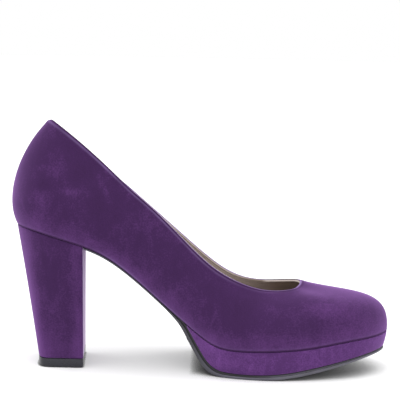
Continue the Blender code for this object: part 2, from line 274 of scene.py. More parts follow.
# The same up from the feather line, down from the topline and away from the back seam
TUCKED_EDGE = 0.5 * MM, 0, 0.8
LOW_RIM = 3.4 * MM, 1 * MM
LOW_PAINTED_HIGHLIGHT = 18 * MM, 2 * MM, 0.5
CUT_EDGE = 1 * MM, 0.3 * MM, 0.75
TIP_EDGE = 1.5 * MM, 0.7 * MM, 0.6
BAND_BELOW = 3.4 * MM, 2.2 * MM, 0.26
BAND_ABOVE = 1.1 * MM, 1.7 * MM
FRONT_WEAKER_SHEEN = 13 * MM, 4 * MM, 0.75
LIP_EDGE = 1.2 * MM, 0.3 * MM
BACK_ROLLS = 14 * MM, 5 * MM
FOLD_SLOPE = 1.5 * MM
SEAM_WIDTH = 0.45 * MM
SEAM_DARK = 0.7

# How pale the nap is, from wear and a painted highlight: at the throat's edge, how much more on its
# outer side, and all along the bottom rim
EDGE_PALE = 0.4
OUTER_EDGE_PALE = 0.4
RIM_PALE = 0.06

# Stitches below the topline, with painted shade along them: how much lower they run at the front,
# their spread and the share of them that the tip hides, and between which shares of their depth the
# edge above them is paler, from wear and a painted highlight
STITCHES_LOWER = 0.7
STITCH_SPREAD = 0.5
TIP_HIDES = 0.6
WORN_AND_LIT_ABOVE = 0.9, 0.3

# The pale band below the stitches, wear and a painted highlight: lengths of its patches, how far
# they fade it, and how much of it is lost at the throat's front
BAND_PATCHES = 5 * MM, 13 * MM
BAND_UNEVEN = 0.25
BAND_FRONT_LOST = 0.25

# Shares of the vamp's darker lining, partly painted shade deep in the shoe: everywhere, at the
# outer lip in painted shade, and lost at the pale lip
LINING_DARK = 0.3
OUTER_LIP_SHADE = 0.45
LIP_PALE = 0.6

# Tones of the bottom pieces, in shares of their length from the back and of their height, among
# them the sole's painted shade and the heel's painted sheen and highlights
PLATFORM_REAR = 0.45, 0.25, 0.25
SOLE_TOE = 0.45, 0.7
SOLE_TOE_DARK = 0.1
SOLE_TOE_GROOVE = 0.2
SOLE_GROOVE = 0.58, 0.66
SLOPE_FRONT = 0.42, 0.3, 0.65
SLOPE_REAR = 0.1, 0.15
BREAST_SHEEN = 0.95
BREAST_SHEEN_LOST = 0.2
HEEL_BACK = 0.45, 0.12
HEEL_BACK_HIGHLIGHT = 1.1
HEEL_BACK_HIGHLIGHT_LOST = 0.6
HEEL_BACK_WEAKER_SHEEN = 0.3, 0.08, 0.35
HEEL_LOW = 0.6, 0.1, 0.35
HEEL_FRONT = 0.6, 0.85, 0.3

# Sizes of the patterns in the leathers and rubbers
NAP_PATCH = 24 * MM
NAP_STROKE = 6 * MM
LINING_TONE = 14 * MM
RUBBER_TONE = 9 * MM
# Nap fibres are about 0.1 mm apart, pores 0.3 mm and mould grain 0.2 mm, all drawn coarser here
# so that they show
NAP_FIBRE = 0.9 * MM
LINING_PORE = 0.8 * MM
RUBBER_GRAIN = 0.7 * MM

# Nap: the middle of a noise and of the dye, how much each pattern and a mark by hand move the dye,
# where its three tones stand, and how its sheen grows where it is seen edge on
NAP_MIDDLE = 0.5
NAP_SHARES = 0.22, 0.2, 0.25
MARK_SHARE = 0.25
NAP_STOPS = 0.3, 0.5, 0.75
SHEEN_FALL = 2.2
SHEEN_SHARE = 0.7

# Moulded ribs: shares of their pitch over which a groove deepens, how they lean in the sole, and
# the stretches over which their panels begin, in shares of the width and length or in metres
GROOVE_SIDE = 0.18, 0.1
RIB_LEAN = 0.35
SOLE_PANEL_SIDE = 0.5, 0.38
SOLE_PANEL_REAR = 118 * MM, 122 * MM
SOLE_PANEL_FRONT = 4 * MM, 9 * MM
LIFT_PANEL_SIDE = 0.5, 0.4
LIFT_PANEL_BACK = 0, 0.2
LIFT_PANEL_FRONT = 1, 0.85

# Large soft lamps, each shining from a far place towards the shoe
Lamp = namedtuple("Lamp", "name place spread power")
LAMPS = (
    Lamp("overhead lamp", (0, -0.25, 0.97), 60, 1.6),
    Lamp("toe side lamp", (0.75, 0.2, 0.6), 45, 1.1),
    Lamp("heel side lamp", (-0.75, 0.2, 0.6), 45, 0.8),
)
FLOOR_RADIUS = 4.0
FLOOR_SIDES = 96

# The floor is paper with a painted glow, as if lit a little from below, and a painted shadow where
# the shoe is close above: further under the toe than at the heel, and on the side away from the
# front light
FLOOR_GLOW = 0.2
HEEL_SHADE = 1.5 * MM
TOE_SHADE = 21 * MM
SHADE_GROWS = -40 * MM, 40 * MM
SHADE_LEAN = 0.3, -0.94, 0.14
SHADE_DEPTH = 5
SHADE_SAMPLES = 8

# The photograph's view of the shoe
CAMERA_AIM = (-0.82 * MM, 1.1 * MM, 104.45 * MM)
CAMERA_AZIMUTH = math.radians(0.5)
CAMERA_ELEVATION = math.radians(9)
CAMERA_ROLL = math.radians(1.1)
CAMERA_DISTANCE = 0.8
CAMERA_SENSOR = 36
CAMERA_LENS = 115.56


def linear(code):
    """Linear colour of an sRGB hex code."""
    channels = [int(code[i:i + 2], 16) / 255 for i in (1, 3, 5)]
    return [c / 12.92 if c <= 0.04045 else ((c + 0.055) / 1.055)**2.4 for c in channels]


def length(name, description, millimetres):
    return FloatProperty(
        name=name,
        description=description,
        default=millimetres * MM,
        min=0,
        precision=5,
        unit="LENGTH",
    )


def colour(name, description, code):
    return FloatVectorProperty(
        name=name,
        description=description,
        default=linear(code),
        min=0,
        max=1,
        size=3,
        subtype="COLOR",
    )


class PumpSizes(bpy.types.PropertyGroup):
    """Thicknesses and edges that a maker chooses over the last."""

    suede: length("Suede", "Thickness of the suede", 0.6)
    lining: length("Lining", "Thickness of the lining and its backing", 1.1)
    lining_lip: length("Lining lip", "How far the lining stands above the suede at the throat", 0.4)
    lining_drop: length("Lining drop", "How far the lining stays below the suede at the back", 0.4)
    fold: length("Topline fold", "Width of the suede that is turned in at the topline", 5)
    fold_rise: length("Fold rise", "How much the turned edge thickens the wall", 0.2)
    stitch_line: length("Stitch line", "Distance of the stitched line from the topline", 1.1)
    edge_round: length("Edge round", "Width of the topline that is rolled inwards", 2.5)
    edge_roll: length("Edge roll", "How far the topline rolls inwards", 0.3)
    back_roll: length("Back roll", "How much further it rolls inwards at the back", 0.9)
    feather_round: length("Feather round", "Radius of the upper's lasted bottom edge", 0.6)
    back_seam: length("Back seam", "Depth of the closed seam at the back", 0.3)
    breast_round: length("Breast round", "Radius of the heel's upright front edges", 1.3)
    tread_pitch: length("Tread pitch", "Distance from rib to rib under the sole", 4)
    tread_depth: length("Tread depth", "Depth of the grooves under the sole", 0.5)


class PumpColours(bpy.types.PropertyGroup):
    """Dyes of the leathers and rubbers."""

    nap_down: colour("Nap down", "Suede brushed smooth", "#331c3f")
    nap: colour("Nap", "Suede as it lies", "#392047")
    nap_up: colour("Nap up", "Suede brushed up", "#58356a")
    # bloom and breast: sheen painted into the suede's colour where it is seen edge on
    bloom: colour("Bloom", "Sheen of the nap's tips, seen edge on", "#9569ad")
    # edge: dark dye of cut edges, and painted shade in the seam, stitch and tucked-edge grooves
    edge: colour("Dyed edge and groove shade", "Cut and seam edges of the suede", "#2a1433")
    # worn: pale wear, and a painted highlight on the throat's edge, the band below it and the bottom
    # rim
    pale_wear_and_sheen_tint: colour("Worn nap and highlight", "Suede rubbed at its folds and rims", "#937cae")
    breast: colour("Breast", "Sheen of the heel's front, seen edge on", "#e4d2ec")
    sheen: colour("Sheen", "Light caught by the nap's tips", "#a77fd0")
    lining: colour("Lining", "Quarter lining and sock leather", "#c4b9b4")
    # vamp lining: the lining's darker tone under the vamp, partly painted shade deep in the toe
    vamp_lining_and_shade: colour("Vamp lining", "Lining under the vamp", "#75675d")
    sole: colour("Sole", "Outsole rubber", "#55535e")
    lift: colour("Lift", "Top piece rubber", "#191924")
    floor: colour("Floor", "Studio floor", "#d8d8d8")


def cubic(knots, values, period=None):
    """Smooth curve through rows of values, free at its ends or closed over a period."""
    knots = np.asarray(knots, float)
    values = np.asarray(values, float).reshape(len(knots), -1)
    if period:
        knots = np.append(knots, knots[0] + period)
        values = np.vstack([values, values[:1]])
    last = len(knots) - 1
    step = np.diff(knots)
    slope = np.diff(values, axis=0) / step[:, None]
    system = np.eye(last + 1)
    target = np.zeros_like(values)
    for i in range(1, last):
        system[i, i - 1:i + 2] = step[i - 1], 2 * (step[i - 1] + step[i]), step[i]
        target[i] = 6 * (slope[i] - slope[i - 1])
    if period:
        system[0, last] = -1
        system[last, :2] = 2 * (step[0] + step[-1]), step[0]
        system[last, last - 1:] = step[-1], 0
        target[last] = 6 * (slope[0] - slope[-1])
    bend = np.linalg.solve(system, target)

    def at(place):
        place = np.asarray(place, float)
        if period:
            place = knots[0] + np.mod(place - knots[0], period)
        i = np.clip(np.searchsorted(knots, place, side="right") - 1, 0, last - 1)
        width = step[i][..., None]
        near = (knots[i + 1] - place)[..., None] / width
        far = 1 - near
        curve = (near**3 - near) * bend[i] + (far**3 - far) * bend[i + 1]
        return near * values[i] + far * values[i + 1] + curve * width**2 / 6

    return at


def fade(value, start, end, strength=1):
    """Soft change from 0 at start to a strength at end."""
    share = np.clip((value - start) / (end - start), 0, 1)
    return strength * share * share * (3 - 2 * share)


def rounded_steps(start, end, share):
    """Place between two ends, closer together towards both, as round ends need."""
    return start + (end - start) * (1 - np.cos(math.pi * share)) / 2


feather_curve = cubic([row.x for row in BOTTOM], [row.feather for row in BOTTOM])
tread_curve = cubic([row.x for row in TREAD], [row[1:] for row in TREAD])


def feather(x):
    """Height of the upper's underside at x."""
    return feather_curve(x / MM)[..., 0] * MM


def lifted(x, thickness):
    """Height at x of a face that lies square off the underside by a thickness."""
    reach = 0.5 * MM
    slope = (feather(x + reach) - feather(x - reach)) / (2 * reach)
    return feather(x) + thickness * np.sqrt(1 + slope**2)


def platform_bottom(x):
    """Height of the platform's underside at x."""
    return tread_curve(x / MM)[..., 0] * MM


def sole_thickness(x):
    """Upright thickness of the outsole at x, thin in the waist and swelling to the platform."""
    rows = tread_curve(np.maximum(x, PLATFORM_TIP) / MM)[..., 1] * MM
    share = np.clip((x - HEEL_BREAST) / (PLATFORM_TIP - HEEL_BREAST), 0, 1)
    waist = WAIST_SOLE + (TREAD[0].sole * MM - WAIST_SOLE) * share**WAIST_SWELL
    return np.where(x < PLATFORM_TIP, waist, rows)


def outward(loop):
    """Level unit normals of a closed plan loop that runs counter-clockwise from above."""
    ahead = np.roll(loop, -1, axis=0) - np.roll(loop, 1, axis=0)
    normal = np.stack([ahead[:, 1], -ahead[:, 0]], axis=1)
    return normal / np.linalg.norm(normal, axis=1, keepdims=True)


def read_walls():
    """The wall table as a closed curve, and the length of the feather line."""
    columns = np.array([row[1:] for row in WALLS])
    high_run = Wall._fields.index("high_run") - 1
    columns[:, np.arange(columns.shape[1]) != high_run] *= MM
    foot = np.vstack([columns[:, :2], columns[:1, :2]])
    around = np.append(0, np.cumsum(np.hypot(*np.diff(foot, axis=0).T)))
    return cubic(around[:-1], columns, period=around[-1]), around[-1]


wall_curve, FEATHER_LENGTH = read_walls()


class Last:
    """Wall sections of the lasted upper at chosen places around the feather line."""

    def __init__(self, around):
        columns = wall_curve(around)
        foot, top, top_z = columns[:, 0:2], columns[:, 2:4], columns[:, 4]
        low_out, low_up, high_run, high_out, high_down = columns[:, 5:].T
        self.foot, self.normal = foot, outward(foot)
        foot_z = feather(foot[:, 0])
        low_plan = foot + self.normal * low_out[:, None]
        high_plan = top + (foot - top) * high_run[:, None] + self.normal * high_out[:, None]
        self.cage = np.array([
            np.column_stack([foot, foot_z]),
            np.column_stack([low_plan, foot_z + low_up]),
            np.column_stack([high_plan, top_z - high_down]),
            np.column_stack([top, top_z]),
        ])
        steps = np.linspace(0, 1, SECTION_STEPS)
        curve = self.read(np.tile(steps[:, None], len(foot)))
        lengths = np.linalg.norm(np.diff(curve, axis=0), axis=2)
        self.steps, self.run = steps, np.vstack([np.zeros(len(foot)), lengths.cumsum(axis=0)])
        self.girth = self.run[-1]

    def read(self, t):
        """Points of the wall sections at rows of curve places t."""
        weights = np.array([(1 - t)**3, 3 * t * (1 - t)**2, 3 * t**2 * (1 - t), t**3])
        return np.einsum("krc,kcd->rcd", weights, self.cage)

    def wall(self, distance):
        """Points at rows of distances up the wall from the feather line."""
        t = np.empty_like(distance)
        for column in range(distance.shape[1]):
            t[:, column] = np.interp(distance[:, column], self.run[:, column], self.steps)
        return self.read(t)

    def margin(self, inset):
        """Points of the lasting margin under the shoe, set in from the feather line."""
        plan = self.foot - self.normal * inset
        return np.column_stack([plan, feather(plan[:, 0])])


def even_around(samples):
    return np.arange(samples) * FEATHER_LENGTH / samples


PLAN = wall_curve(even_around(PLAN_SAMPLES))[:, 0:2]


def pattern_box():
    """Lowest and highest corner of the upper, as the pattern draws it."""
    last = Last(even_around(WALL_AROUND))
    shares = np.linspace(0, 1, WALL_ROWS)[:, None]
    points = last.wall(shares * last.girth).reshape(-1, 3)
    return points.min(axis=0), points.max(axis=0)


PATTERN_BOX = pattern_box()
UPPER_BOX = np.array(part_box("upper"))


def on_frame(points):
    """Set the pattern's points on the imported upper."""
    low, high = PATTERN_BOX
    grade = (UPPER_BOX[1] - UPPER_BOX[0])[:2] / (high - low)[:2]
    placed = points.copy()
    placed[:, :2] = UPPER_BOX[0][:2] + (points[:, :2] - low[:2]) * grade
    placed[:, 2] *= UPPER_BOX[1][2] / high[2]
    return placed


class Outline:
    """Plan outline of a bottom piece, set in from a loop such as the feather line."""

    def __init__(self, inset, loop=PLAN):
        loop = loop - outward(loop) * inset
        heel, toe = loop[:, 0].argmin(), loop[:, 0].argmax()
        self.back, self.front = loop[heel, 0], loop[toe, 0]
        self.inner = np.roll(loop, -heel, axis=0)[:(toe - heel) % len(loop) + 1]
        self.outer = np.roll(loop, -toe, axis=0)[:(heel - toe) % len(loop) + 1][::-1]

    def across(self, x, share):
        """Y at x, from the inner side at share 0 to the outer side at share 1."""
        inner = np.interp(x, *self.inner.T)
        outer = np.interp(x, *self.outer.T)
        return inner + (outer - inner) * share


def surface_normals(grid):
    """Outward unit normals of a ring of rows."""
    around = np.roll(grid, -1, axis=1) - np.roll(grid, 1, axis=1)
    normal = np.cross(around, np.gradient(grid, axis=0))
    return normal / np.linalg.norm(normal, axis=2, keepdims=True)


def corners_of(piece):
    corners = np.empty(len(piece.data.vertices) * 3)
    piece.data.vertices.foreach_get("co", corners)
    return corners.reshape(-1, 3)


def add_grid(along, across):
    """Flat unit sheet in even steps, alone selected."""
    bpy.ops.object.select_all(action="DESELECT")
    bpy.ops.mesh.primitive_grid_add(
        x_subdivisions=along, y_subdivisions=across, size=1, location=(0.5, 0.5, 0)
    )
    bpy.ops.object.transform_apply(location=True)
    return bpy.context.object


def sew(piece):
    """Merge the corners that meet, as at a back seam or a round tip."""
    bpy.ops.object.mode_set(mode="EDIT")
    bpy.ops.mesh.select_all(action="SELECT")
    bpy.ops.mesh.remove_doubles(threshold=MERGE_DISTANCE)
    bpy.ops.object.mode_set(mode="OBJECT")


def shade_corners(piece, name, values):
    """Give a piece's corners one shade for its material."""
    shade = piece.data.attributes.new(name, "FLOAT", "POINT")
    shade.data.foreach_set("value", values)


def add_sheet(points, **shades):
    """Leather sheet wrapped over a ring of rows and sewn shut at the back."""
    rows, columns = points.shape[:2]
    sheet = add_grid(columns, rows - 1)
    flat = corners_of(sheet)
    column = np.rint(flat[:, 0] * columns).astype(int) % columns
    row = np.rint(flat[:, 1] * (rows - 1)).astype(int)
    sheet.data.vertices.foreach_set("co", on_frame(points[row, column]).ravel())
    for name, values in shades.items():
        shade_corners(sheet, name, values[row, column])
    sew(sheet)
    return sheet


def add_block(steps, rings, place, **shades):
    """Block raised ring by ring, each ring's corners set at place(ring, along, across)."""
    block = add_grid(*steps)
    last = len(rings) - 1
    bpy.ops.object.mode_set(mode="EDIT")
    bpy.ops.mesh.select_all(action="SELECT")
    for _ in range(last):
        bpy.ops.mesh.extrude_region_move(TRANSFORM_OT_translate={"value": (0, 0, 1 / last)})
    bpy.ops.object.mode_set(mode="OBJECT")
    along, across, up = corners_of(block).T
    level = np.rint(up * last).astype(int)
    points = np.empty((len(level), 3))
    for index, ring in enumerate(rings):
        on = level == index
        points[on] = np.column_stack(place(ring, along[on], across[on]))
    block.data.vertices.foreach_set("co", on_frame(points).ravel())
    height = np.array([ring.height for ring in rings])[level]
    for name, tone in shades.items():
        shade_corners(block, name, tone(along, height))
    sew(block)
    bpy.ops.object.mode_set(mode="EDIT")
    bpy.ops.mesh.normals_make_consistent(inside=False)
    bpy.ops.object.mode_set(mode="OBJECT")
    return block


def modify(piece, kind, **settings):
    """Give a piece one modifier and apply it."""
    modifier = piece.modifiers.new(kind, kind)
    for name, value in settings.items():
        setattr(modifier, name, value)
    bpy.ops.object.modifier_apply(modifier=modifier.name)


def finish_piece(piece, name, material, slot, *nodes):
    """Name, smooth and dress a piece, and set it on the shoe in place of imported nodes."""
    if not piece.data.polygons:
        raise RuntimeError(f"{name} has no faces")
    piece.name = piece.data.name = name
    bpy.ops.object.shade_smooth_by_angle(angle=SMOOTH_UP_TO)
    piece.data.materials.clear()
    piece.data.materials.append(material)
    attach(piece, BODY)
    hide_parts(*nodes)


def add_node(tree, kind, inputs=None, **settings):
    """Add a shader node with its settings. An input is a value, a socket or a node's first output."""
    node = tree.nodes.new("ShaderNode" + kind)
    for name, value in settings.items():
        setattr(node, name, value)
    for socket, value in (inputs or {}).items():
        if isinstance(value, bpy.types.Node):
            value = value.outputs[0]
        if isinstance(value, bpy.types.NodeSocket):
            tree.links.new(value, node.inputs[socket])
        else:
            node.inputs[socket].default_value = value
    return node


def new_material(name):
    """Empty material with its tree and its object coordinates."""
    material = bpy.data.materials.new(name)
    material.use_nodes = True
    tree = material.node_tree
    tree.nodes.clear()
    place = tree.nodes.new("ShaderNodeTexCoord").outputs["Object"]
    return material, tree, place


def shade_with(tree, inputs):
    shader = add_node(tree, "BsdfPrincipled", inputs)
    add_node(tree, "OutputMaterial", {"Surface": shader})


def suede_leather(name, colours, pale_wear_and_sheen_tint, stroke, brightness=1, grazing=0):
    """Napped suede, brushed by hand.

    Its fibres lie in patches and strokes that are lighter or darker as they stand, and where it
    is seen edge on its tips get a painted sheen. Cut edges take the dye darkest, and grooves at
    seams, stitches and the tucked edge get painted shade. Worn nap, and painted highlights, are
    paler. With grazing, that paleness is only a painted sheen where it is seen edge on.
    """
    material, tree, place = new_material(name)
    patches = add_node(tree, "TexNoise", {
        "Vector": place, "Scale": 1 / NAP_PATCH, "Detail": 2, "Distortion": 0.7,
    })
    brushed = add_node(tree, "Mapping", {"Vector": place, "Scale": stroke})
    strokes = add_node(tree, "TexNoise", {
        "Vector": brushed, "Scale": 1 / NAP_STROKE, "Detail": 3, "Distortion": 0.9,
    })
    fibres = add_node(tree, "TexNoise", {"Vector": place, "Scale": 1 / NAP_FIBRE, "Detail": 2})
    marks = "mark", "flat", "rub", "crease"
    mark, flat, rub, crease = (
        add_node(tree, "Attribute", attribute_name=name).outputs["Fac"] for name in marks
    )
    lie = NAP_MIDDLE
    for shade, share in zip((patches, strokes, fibres), NAP_SHARES):
        change = add_node(tree, "Math", {0: shade, 1: NAP_MIDDLE}, operation="SUBTRACT")
        lie = add_node(tree, "Math", {0: change, 1: share, 2: lie}, operation="MULTIPLY_ADD")
    # The mark adds handling marks in the nap and, at the upper's bottom edge and the heel's back and
    # foot, a painted highlight
    lie = add_node(tree, "Math", {0: mark, 1: MARK_SHARE, 2: lie}, operation="MULTIPLY_ADD")
    ramp = add_node(tree, "ValToRGB", {"Fac": lie})
    stops = ramp.color_ramp.elements
    stops.new(NAP_MIDDLE)
    tones = colours.nap_down, colours.nap, colours.nap_up
    for stop, tone, position in zip(stops, tones, NAP_STOPS):
        stop.position = position
        stop.color = (*(channel * brightness for channel in tone), 1)
    # Painted sheen of the nap's tips where the suede is seen edge on, less where the flat mark is
    # high
    facing = add_node(tree, "LayerWeight", {"Blend": 0.5}).outputs["Facing"]
    sheen_kept = add_node(tree, "Math", {0: 1, 1: flat}, operation="SUBTRACT")
    tips = add_node(tree, "Math", {0: facing, 1: SHEEN_FALL}, operation="POWER")
    for share in SHEEN_SHARE, sheen_kept:
        tips = add_node(tree, "Math", {0: tips, 1: share}, operation="MULTIPLY")
    edge_on = add_node(tree, "Math", {0: facing, 1: grazing}, operation="POWER")
    rub = add_node(tree, "Math", {0: rub, 1: edge_on}, operation="MULTIPLY")
    # Mixed into the dye: painted sheen of the tips, pale wear with painted highlight, and dark dye
    # with painted groove shade
    dyed = ramp
    for share, tone in (tips, colours.bloom), (rub, pale_wear_and_sheen_tint), (crease, colours.edge):
        inputs = {0: share, 6: dyed, 7: (*tone, 1)}
        dyed = add_node(tree, "Mix", inputs, data_type="RGBA").outputs[2]
    relief = add_node(tree, "Bump", {"Height": strokes, "Strength": 0.1, "Distance": 0.3 * MM})
    relief = add_node(tree, "Bump", {
        "Height": fibres, "Normal": relief, "Strength": 0.3, "Distance": 0.2 * MM,
    })
    shade_with(tree, {
        "Base Color": dyed,
        "Roughness": 0.95,
        "Specular IOR Level": 0.1,
        "Sheen Weight": 0.12,
        "Sheen Roughness": 0.5,
        "Sheen Tint": (*colours.sheen, 1),
        "Normal": relief,
    })
    return material


def lining_leather(name, colours):
    """Smooth finished lining leather: a fine pore grain, a little uneven in tone, half matt."""
    material, tree, place = new_material(name)
    tone = add_node(tree, "TexNoise", {"Vector": place, "Scale": 1 / LINING_TONE, "Detail": 3})
    pores = add_node(tree, "TexVoronoi", {"Vector": place, "Scale": 1 / LINING_PORE})
    # Darker under the vamp: partly the leather's tone, partly painted shade deep in the toe
    vamp = add_node(tree, "Attribute", attribute_name="vamp").outputs["Fac"]
    inputs = {0: vamp, 6: (*colours.lining, 1), 7: (*colours.vamp_lining_and_shade, 1)}
    dyed = add_node(tree, "Mix", inputs, data_type="RGBA").outputs[2]
    uneven = add_node(tree, "MapRange", {"Value": tone, "To Min": 0.85, "To Max": 1.1})
    dyed = add_node(tree, "VectorMath", {0: dyed, "Scale": uneven}, operation="SCALE")
    relief = add_node(tree, "Bump", {"Height": pores, "Strength": 0.2, "Distance": 0.1 * MM})
    gloss = add_node(tree, "MapRange", {"Value": tone, "To Min": 0.5, "To Max": 0.65})
    shade_with(tree, {
        "Base Color": dyed,
        "Roughness": gloss,
        "Specular IOR Level": 0.4,
        "Normal": relief,
    })
    return material


def moulded_rubber(name, tint, roughness):
    """Moulded sole rubber: a matt skin with fine mould grain, paler where handled, with painted shade
    in its groove.
    """
    material, tree, place = new_material(name)
    tone = add_node(tree, "TexNoise", {"Vector": place, "Scale": 1 / RUBBER_TONE, "Detail": 4})
    grain = add_node(tree, "TexNoise", {"Vector": place, "Scale": 1 / RUBBER_GRAIN, "Detail": 2})
    ramp = add_node(tree, "ValToRGB", {"Fac": tone})
    for stop, position, share in zip(ramp.color_ramp.elements, (0.35, 0.7), (0.85, 1.15)):
        stop.position = position
        stop.color = (*(channel * share for channel in tint), 1)
    groove = add_node(tree, "Attribute", attribute_name="groove").outputs["Fac"]
    # Painted shade in the sole's groove and on its slope
    shaded = add_node(tree, "MapRange", {"Value": groove, "To Min": 1, "To Max": 0.12})
    dyed = add_node(tree, "VectorMath", {0: ramp, "Scale": shaded}, operation="SCALE")
    relief = add_node(tree, "Bump", {"Height": grain, "Strength": 0.2, "Distance": 0.1 * MM})
    gloss = add_node(tree, "MapRange", {
        "Value": tone, "To Min": roughness - 0.06, "To Max": roughness + 0.1,
    })
    shade_with(tree, {"Base Color": dyed, "Roughness": gloss, "Normal": relief})
    return material


def studio_paper(name, tint):
    """Matt pale paper with a painted glow, and a painted shadow where the shoe is close above it."""
    material, tree, place = new_material(name)
    along = add_node(tree, "SeparateXYZ", {"Vector": place})
    reach = add_node(tree, "MapRange", {
        "Value": along,
        "From Min": SHADE_GROWS[0],
        "From Max": SHADE_GROWS[1],
        "To Min": HEEL_SHADE,
        "To Max": TOE_SHADE,
    })
    lean = add_node(tree, "CombineXYZ", dict(enumerate(SHADE_LEAN)))
    inputs = {"Distance": reach, "Normal": lean}
    close = add_node(tree, "AmbientOcclusion", inputs, samples=SHADE_SAMPLES)
    inputs = {0: close.outputs["AO"], 1: SHADE_DEPTH}
    lit = add_node(tree, "Math", inputs, operation="POWER")
    # The painted shadow dims both the paper and its painted glow
    shade_with(tree, {
        "Base Color": add_node(tree, "VectorMath", {0: tint, "Scale": lit}, operation="SCALE"),
        "Roughness": 1,
        "Emission Color": (1, 1, 1, 1),
        "Emission Strength": add_node(tree, "Math", {0: lit, 1: FLOOR_GLOW}, operation="MULTIPLY"),
    })
    return material


def nap_marks(points):
    """How far the nap is brushed up or down by hand at points of the upper."""
    shade = np.zeros(points.shape[:-1])
    for mark in NAP_MARKS:
        lean = math.radians(mark.lean)
        right, up = points[..., 0] / MM - mark.x, points[..., 2] / MM - mark.z
        along = (right * math.cos(lean) + up * math.sin(lean)) / mark.long
        aside = (up * math.cos(lean) - right * math.sin(lean)) / mark.wide
        shade += mark.lift * np.exp(-along**2 - aside**2)
    return shade * fade(points[..., 1], *INNER_SIDE)


def grooves(place, pitch, depth):
    """Height of moulded grooves at places counted across them."""
    phase = np.abs(np.mod(place / pitch, 1) - 0.5)
    return depth * fade(phase, *GROOVE_SIDE)


class SuedeWall:
    """Rows of the upper's suede, from the lasting margin round the feather edge to the topline."""

    def __init__(self, sizes):
        self.sizes = sizes
        seam = np.array(SEAM_COLUMNS) * MM
        columns = even_around(WALL_AROUND), seam, FEATHER_LENGTH - seam
        self.around = np.sort(np.concatenate(columns))
        last = Last(self.around)
        corner = sizes.feather_round
        low = np.array(LOW_ROWS)[:, None] * MM + corner
        high = np.array(HIGH_ROWS)[:, None] * MM
        shares = np.linspace(0, 1, WALL_ROWS + 2)[1:-1, None]
        middle = low[-1] + (last.girth - high[0] - low[-1]) * shares
        rise = np.vstack([np.tile(low, len(self.around)), middle, last.girth - high])
        wall = last.wall(rise)
        under, edge = last.margin(corner), last.cage[0]
        turn = [
            (1 - t)**2 * under + 2 * t * (1 - t) * edge + t**2 * wall[0]
            for t in np.linspace(0, 1, TURN_ROWS + 1)[:-1]
        ]
        insets = LASTING_MARGIN, *(inset * MM for inset in MARGIN_ROWS)
        self.grid = np.array([*(last.margin(inset) for inset in insets), *turn, *wall])
        hidden = np.zeros((len(self.grid) - len(wall), len(self.around)))
        self.above_edge = np.vstack([hidden, rise])
        self.below_top = last.girth - self.above_edge
        self.from_back = np.minimum(self.around, FEATHER_LENGTH - self.around)
        self.seam = np.exp(-(self.from_back / SEAM_WIDTH)**2)
        self.read_topline(last.cage[3])

    def read_topline(self, top):
        """Places along the topline: its throat, handled most, its outer rear, front and tip."""
        self.top_x, self.top_y = top[:, 0], top[:, 1]
        inner = fade(self.top_y, *INNER_TOP)
        self.outer_rear = (1 - inner) * fade(self.top_x, *OUTER_REAR)
        self.throat = fade(self.top_x, *QUARTER_TO_THROAT) * (inner + self.outer_rear)
        self.front = fade(self.top_x, *THROAT_FRONT)
        self.tip = fade(self.top_x, *THROAT_TIP) * self.throat
        self.stitches = self.sizes.stitch_line * (1 + STITCHES_LOWER * self.front)

    def emboss(self):
        """Raise the turned edge, sink the back seam and roll the topline inwards."""
        sizes = self.sizes
        turned = fade(self.below_top, sizes.fold + FOLD_SLOPE, FOLD_SLOPE)
        roll = sizes.edge_roll + sizes.back_roll * fade(self.from_back, *BACK_ROLLS)
        rolled = roll * np.clip(1 - self.below_top / sizes.edge_round, 0, 1)**2
        relief = sizes.fold_rise * turned - sizes.back_seam * self.seam - rolled
        self.grid += surface_normals(self.grid) * relief[..., None]

    def crease(self):
        """Dark dye at the quarter's cut edge, and painted shade at the tucked edge, back seam and
        stitches.
        """
        tucked = fade(self.above_edge - self.sizes.feather_round, *TUCKED_EDGE)
        cut = fade(self.below_top, *CUT_EDGE) * (1 - self.throat)
        line = np.exp(-((self.below_top / self.stitches - 1) / STITCH_SPREAD)**2)
        line *= self.throat - TIP_HIDES * self.tip
        edges = np.maximum(tucked, cut)
        return np.maximum(edges, np.maximum(line, SEAM_DARK * self.seam))

    def rub(self):
        """Pale wear and painted highlight above and below the throat's stitches and along the bottom
        rim.
        """
        start, end = (share * self.stitches for share in WORN_AND_LIT_ABOVE)
        edge = (EDGE_PALE + OUTER_EDGE_PALE * self.outer_rear) * self.throat
        edge = edge * fade(self.below_top, start, end)
        edge = np.maximum(edge, self.tip * fade(self.below_top, *TIP_EDGE))
        band = fade(self.below_top, *BAND_BELOW) * fade(self.below_top, *BAND_ABOVE)
        # The band, partly wear and partly painted highlight, is patchy and fades out towards the
        # front
        patches = [np.sin(self.around / size) for size in BAND_PATCHES]
        patchy = 1 - BAND_UNEVEN + BAND_UNEVEN * patches[0] * patches[1]
        fading_highlight = 1 - fade(self.top_x, *BAND_FADES) - BAND_FRONT_LOST * self.front
        x = self.grid[..., 0]
        waist = fade(x, *WAIST_FRONT) * fade(x, *WAIST_REAR)
        rim = (RIM_PALE + waist) * fade(self.above_edge, *LOW_RIM)
        return edge + patchy * fading_highlight * band + rim

    def mark(self):
        """Nap brushed by hand, and paler towards the bottom edge, a painted highlight."""
        return nap_marks(self.grid) + fade(self.above_edge, *LOW_PAINTED_HIGHLIGHT)

    def flat(self):
        """Where the painted sheen of the nap's tips is weaker: on the back, along the throat's front
        and at the toe.
        """
        x, z = self.grid[..., 0], self.grid[..., 2]
        front = (self.front - self.tip) * fade(self.top_y, *INNER_FRONT)
        flat = fade(x, *BACK_WEAKER_SHEEN) * fade(z, *HIGH_BACK)
        flat += front * fade(self.below_top, *FRONT_WEAKER_SHEEN) + fade(x, *TOE_WEAKER_SHEEN)
        return flat + fade(x, *CURVE_WEAKER_SHEEN) * fade(z, *LOW_BACK)


